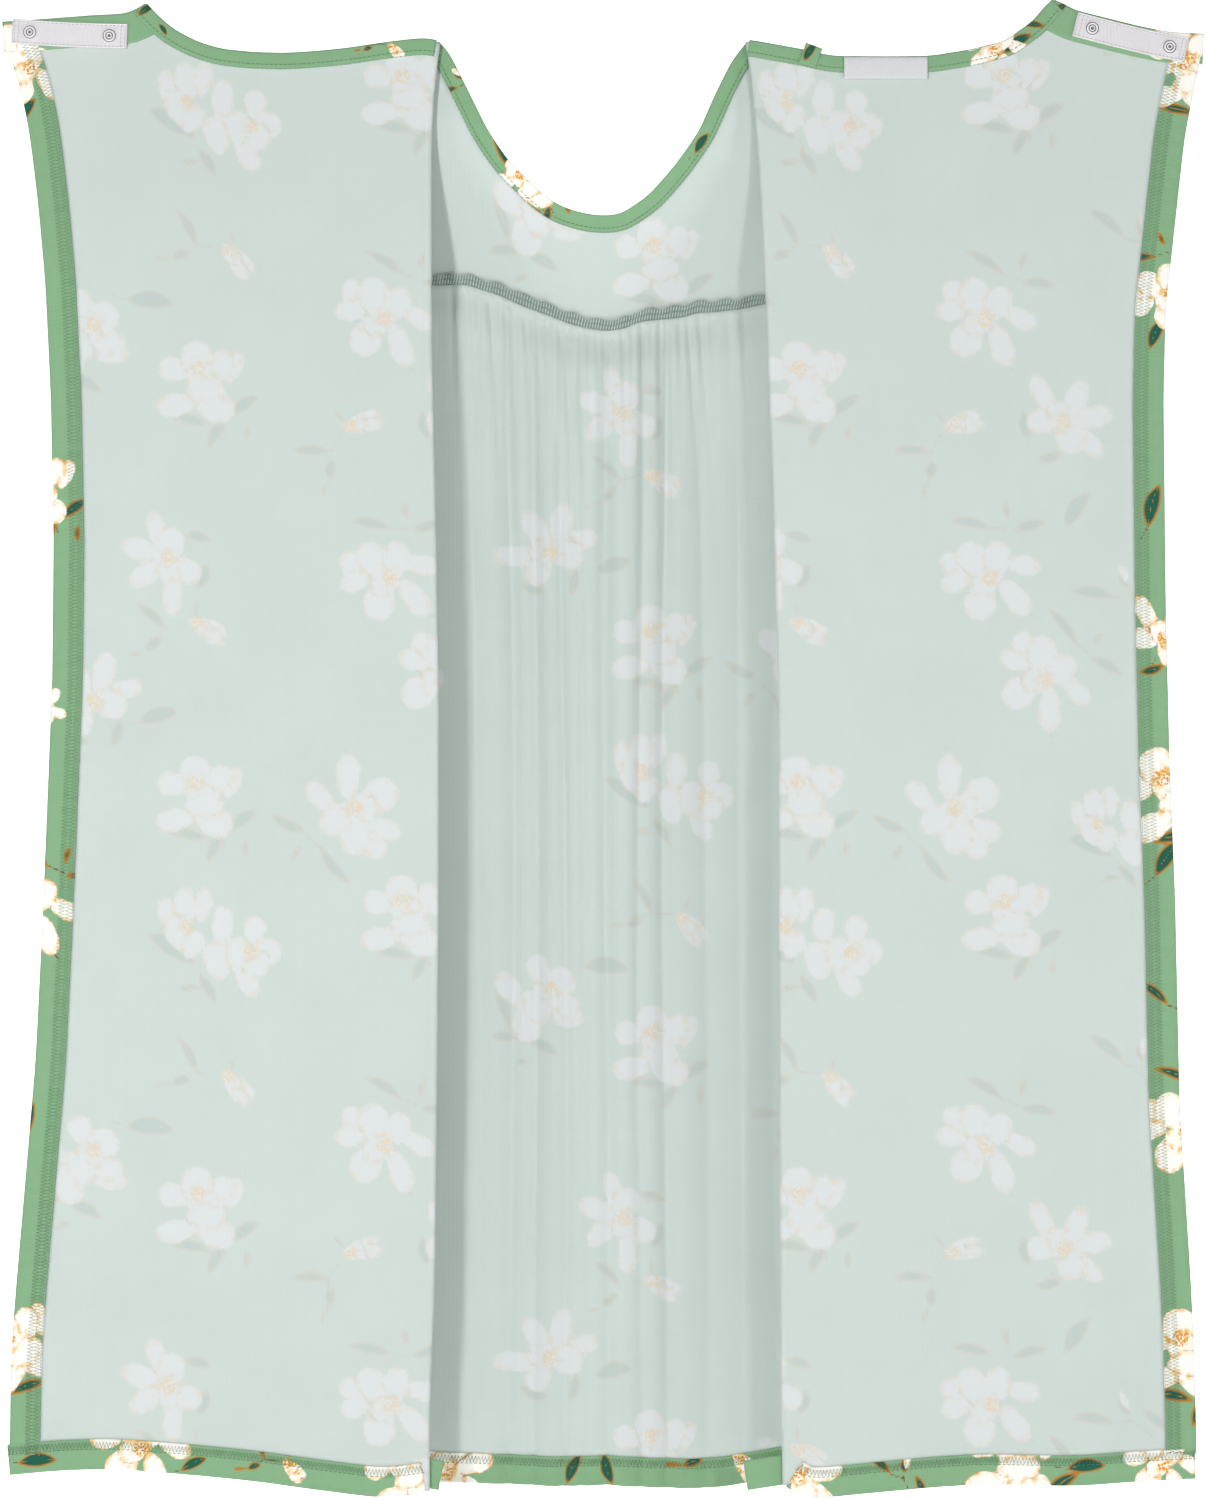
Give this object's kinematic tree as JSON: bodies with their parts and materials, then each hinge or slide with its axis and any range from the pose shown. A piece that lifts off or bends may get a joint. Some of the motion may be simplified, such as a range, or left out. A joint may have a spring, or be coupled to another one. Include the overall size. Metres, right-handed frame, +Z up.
{
  "type": "patient gown",
  "caption": "Sleeveless patient gown of printed jersey, opened from behind: yoked, gathered front and overlapping back panels that fold shut and snap at the shoulders.",
  "frame": {"origin": "middle of the gown's width at the height of the neck points, on the mean plane between the folded-out back panels and their hidden sides", "axes": "+X to the right seen from the open side, +Y from the open side towards the front of the gown, +Z up from hem to shoulders"},
  "size_m": [0.846, 0.0729, 1.0585],
  "materials": {
    "jersey_panel": "printed cotton jersey, pale wrong side",
    "jersey_trim": "printed cotton jersey, green right side",
    "serged_seam": "overlocked jersey seam allowance",
    "cotton_tape": "woven cotton tape",
    "satin_label": "woven satin, blank",
    "snap_plastic": "moulded white acetal"
  },
  "bodies": {
    "front": {"front_hem_facing": "jersey_trim", "front_neck_binding": "jersey_trim", "front_skirt": "jersey_panel", "front_yoke": "jersey_panel", "gather_seam": "serged_seam", "left_armhole_binding_back": "jersey_trim", "left_armhole_binding_front": "jersey_trim", "left_back_side": "jersey_panel", "left_front_snap_cap_inner": "snap_plastic", "left_front_snap_cap_outer": "snap_plastic", "left_front_snap_ring_inner": "snap_plastic", "left_front_snap_ring_outer": "snap_plastic", "left_front_snap_tape": "cotton_tape", "left_shoulder_seam": "serged_seam", "left_side_hem_facing": "jersey_trim", "left_side_seam": "serged_seam", "right_armhole_binding_back": "jersey_trim", "right_armhole_binding_front": "jersey_trim", "right_back_side": "jersey_panel", "right_front_snap_cap_inner": "snap_plastic", "right_front_snap_cap_outer": "snap_plastic", "right_front_snap_ring_inner": "snap_plastic", "right_front_snap_ring_outer": "snap_plastic", "right_front_snap_tape": "cotton_tape", "right_shoulder_seam": "serged_seam", "right_side_hem_facing": "jersey_trim", "right_side_seam": "serged_seam"},
    "left_back": {"left_back_neck_binding": "jersey_trim", "left_back_panel": "jersey_panel", "left_back_snap_cap_inner": "snap_plastic", "left_back_snap_cap_outer": "snap_plastic", "left_back_snap_ring_inner": "snap_plastic", "left_back_snap_ring_outer": "snap_plastic", "left_back_snap_tape": "cotton_tape", "left_edge_facing": "jersey_trim", "left_hem_facing": "jersey_trim", "left_shoulder_facing": "jersey_trim"},
    "right_back": {"right_back_neck_binding": "jersey_trim", "right_back_panel": "jersey_panel", "right_back_snap_cap_inner": "snap_plastic", "right_back_snap_cap_outer": "snap_plastic", "right_back_snap_ring_inner": "snap_plastic", "right_back_snap_ring_outer": "snap_plastic", "right_back_snap_tape": "cotton_tape", "right_edge_facing": "jersey_trim", "right_hem_facing": "jersey_trim", "right_shoulder_facing": "jersey_trim", "neck_label": "satin_label", "neck_binding_end_tab": "jersey_trim"}
  },
  "joints": [
    {"name": "left_panel_fold", "type": "hinge", "parent": "front", "child": "left_back", "pos_m": [-0.116, -0.006, 0], "axis": [0.0059, 0, 1], "range_deg": [0, 180]},
    {"name": "right_panel_fold", "type": "hinge", "parent": "front", "child": "right_back", "pos_m": [0.102, -0.009, 0], "axis": [0.0251, 0, -0.9997], "range_deg": [0, 180]}
  ]
}
